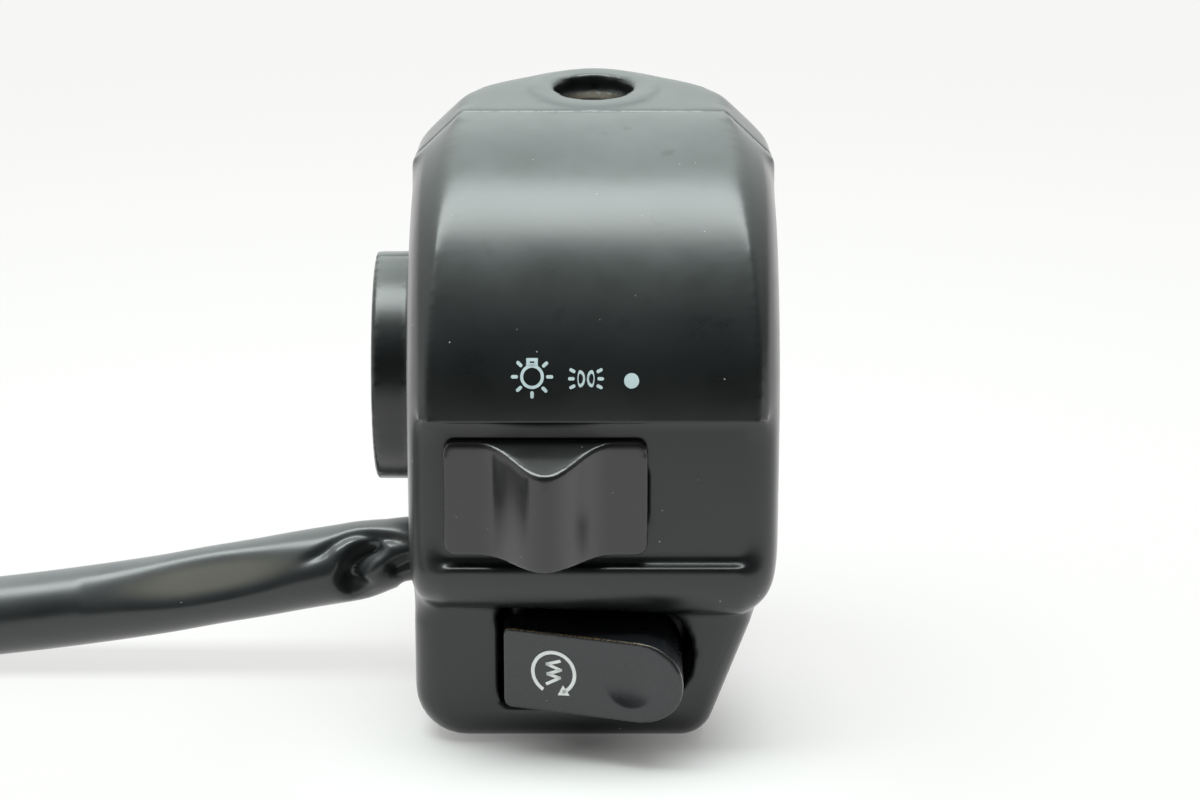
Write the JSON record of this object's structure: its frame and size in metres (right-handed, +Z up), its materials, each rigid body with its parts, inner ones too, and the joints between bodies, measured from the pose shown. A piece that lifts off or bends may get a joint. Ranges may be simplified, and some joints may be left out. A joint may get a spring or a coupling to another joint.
{
  "type": "handlebar switch cluster",
  "caption": "Right-hand motorcycle handlebar switch cluster: split clamp casing with sliding light switch, hinged starter button, mirror thread and a sleeved wiring loom with plug.",
  "frame": {"origin": "on the handlebar bore's axis, midway between the casing's side walls", "axes": "+X along the bar towards the grip, +Y forwards away from the rider, +Z up; the casing stands on its flat foot"},
  "size_m": [0.2192, 0.0842, 0.0704],
  "materials": {
    "casing_paint": "semi-gloss black enamel on die-cast aluminium",
    "knob_plastic": "gloss black ABS",
    "button_plastic": "satin black nylon",
    "sleeve_vinyl": "satin black PVC sleeve",
    "screw_steel": "zinc plated",
    "strap_steel": "zinc plated sheet",
    "spring_steel": "bright spring steel",
    "contact_brass": "bare brass",
    "phenolic": "brown phenolic laminate",
    "plunger_plastic": "natural acetal",
    "tie_nylon": "black nylon",
    "plug_nylon": "natural white nylon",
    "lead_blue": "blue PVC insulation",
    "lead_red": "red PVC insulation",
    "lead_brown": "brown PVC insulation",
    "lead_green": "green PVC insulation",
    "lead_black": "black PVC insulation",
    "lead_mixed": "PVC insulation in several colours"
  },
  "bodies": {
    "housing": {"rear_housing": "casing_paint", "front_housing": "casing_paint", "clamp_screws": "screw_steel", "light_base": "phenolic", "light_terminals": "contact_brass", "light_base_screws": "screw_steel", "starter_pin": "spring_steel", "starter_spring": "spring_steel", "starter_base": "phenolic", "starter_terminals": "contact_brass", "starter_base_screws": "screw_steel", "harness_clamp": "strap_steel", "harness_clamp_screw": "screw_steel", "harness_sleeve": "sleeve_vinyl", "harness_hank": "sleeve_vinyl", "hank_tie": "tie_nylon", "lead_head": "lead_blue", "lead_feed": "lead_red", "lead_tail": "lead_brown", "lead_start": "lead_green", "lead_relay": "lead_black", "plug_leads": "lead_mixed", "plug_shell": "plug_nylon", "plug_pins": "contact_brass"},
    "light_slider": {"light_knob": "knob_plastic", "light_knob_screw": "screw_steel", "light_carrier": "phenolic", "light_contact": "contact_brass", "detent_spring": "spring_steel", "detent_ball": "spring_steel"},
    "starter_lever": {"starter_button": "button_plastic"},
    "starter_plunger": {"starter_plunger": "plunger_plastic", "starter_contact": "contact_brass"}
  },
  "joints": [
    {"name": "light_slide", "type": "slide", "parent": "housing", "child": "light_slider", "axis": [1, 0, 0], "range_m": [0, 0.009]},
    {"name": "starter_press", "type": "hinge", "parent": "housing", "child": "starter_lever", "pos_m": [-0.0086, -0.0228, -0.0273], "axis": [0, 0, 1], "range_deg": [0, 8.5], "stiffness_Nm_per_rad": 0.1, "springref_deg": -8.59},
    {"name": "plunger_slide", "type": "slide", "parent": "housing", "child": "starter_plunger", "axis": [0, 1, 0], "range_m": [0, 0.0016], "deforming": ["starter_spring"]}
  ],
  "couplings": [
    {"joint": "plunger_slide", "follows": "starter_press", "m_per_rad": 0.0101}
  ]
}
